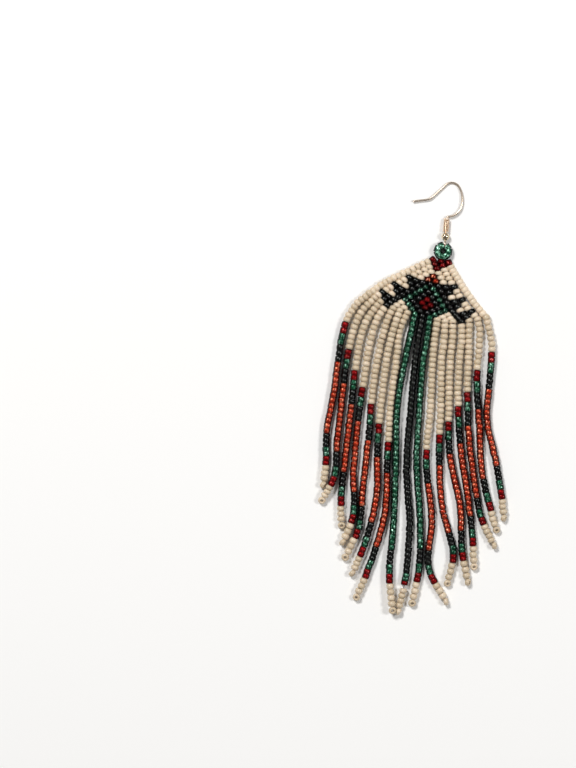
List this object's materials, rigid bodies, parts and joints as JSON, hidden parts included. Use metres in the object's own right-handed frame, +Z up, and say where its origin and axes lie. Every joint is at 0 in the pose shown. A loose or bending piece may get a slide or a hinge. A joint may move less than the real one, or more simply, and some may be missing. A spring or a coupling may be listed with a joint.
{
  "type": "beaded tassel earring",
  "caption": "Earring with a French hook, a brick-stitched seed bead triangle and a long bead fringe, lying flat.",
  "frame": {"origin": "on the surface under the middle of the lying earring's outline", "axes": "+X right, +Y from the fringe towards the hook, +Z up from the surface, out of the beadwork's face"},
  "size_m": [0.0544, 0.1239, 0.0024],
  "materials": {
    "hook_wire": "gold-tone plated steel wire, polished",
    "hook_ball": "gold-tone plated hollow ball, polished",
    "hook_coil": "rose-gold-tone plated wound coil, polished",
    "beads_green": "emerald glass with a silver-lined hole",
    "beads_cream": "opaque cream glass, glossy",
    "beads_orange": "hyacinth orange glass with a silver-lined hole",
    "beads_red": "dark red transparent glass",
    "beads_black": "opaque black glass, glossy",
    "bead_thread": "fine waxed nylon beading thread"
  },
  "bodies": {
    "root": {"ear_hook": "hook_wire", "hook_ball": "hook_ball", "hook_coil": "hook_coil", "hanger_loop": "beads_green", "stitched_panel": "beads_cream", "fringe": "beads_orange"}
  },
  "joints": []
}
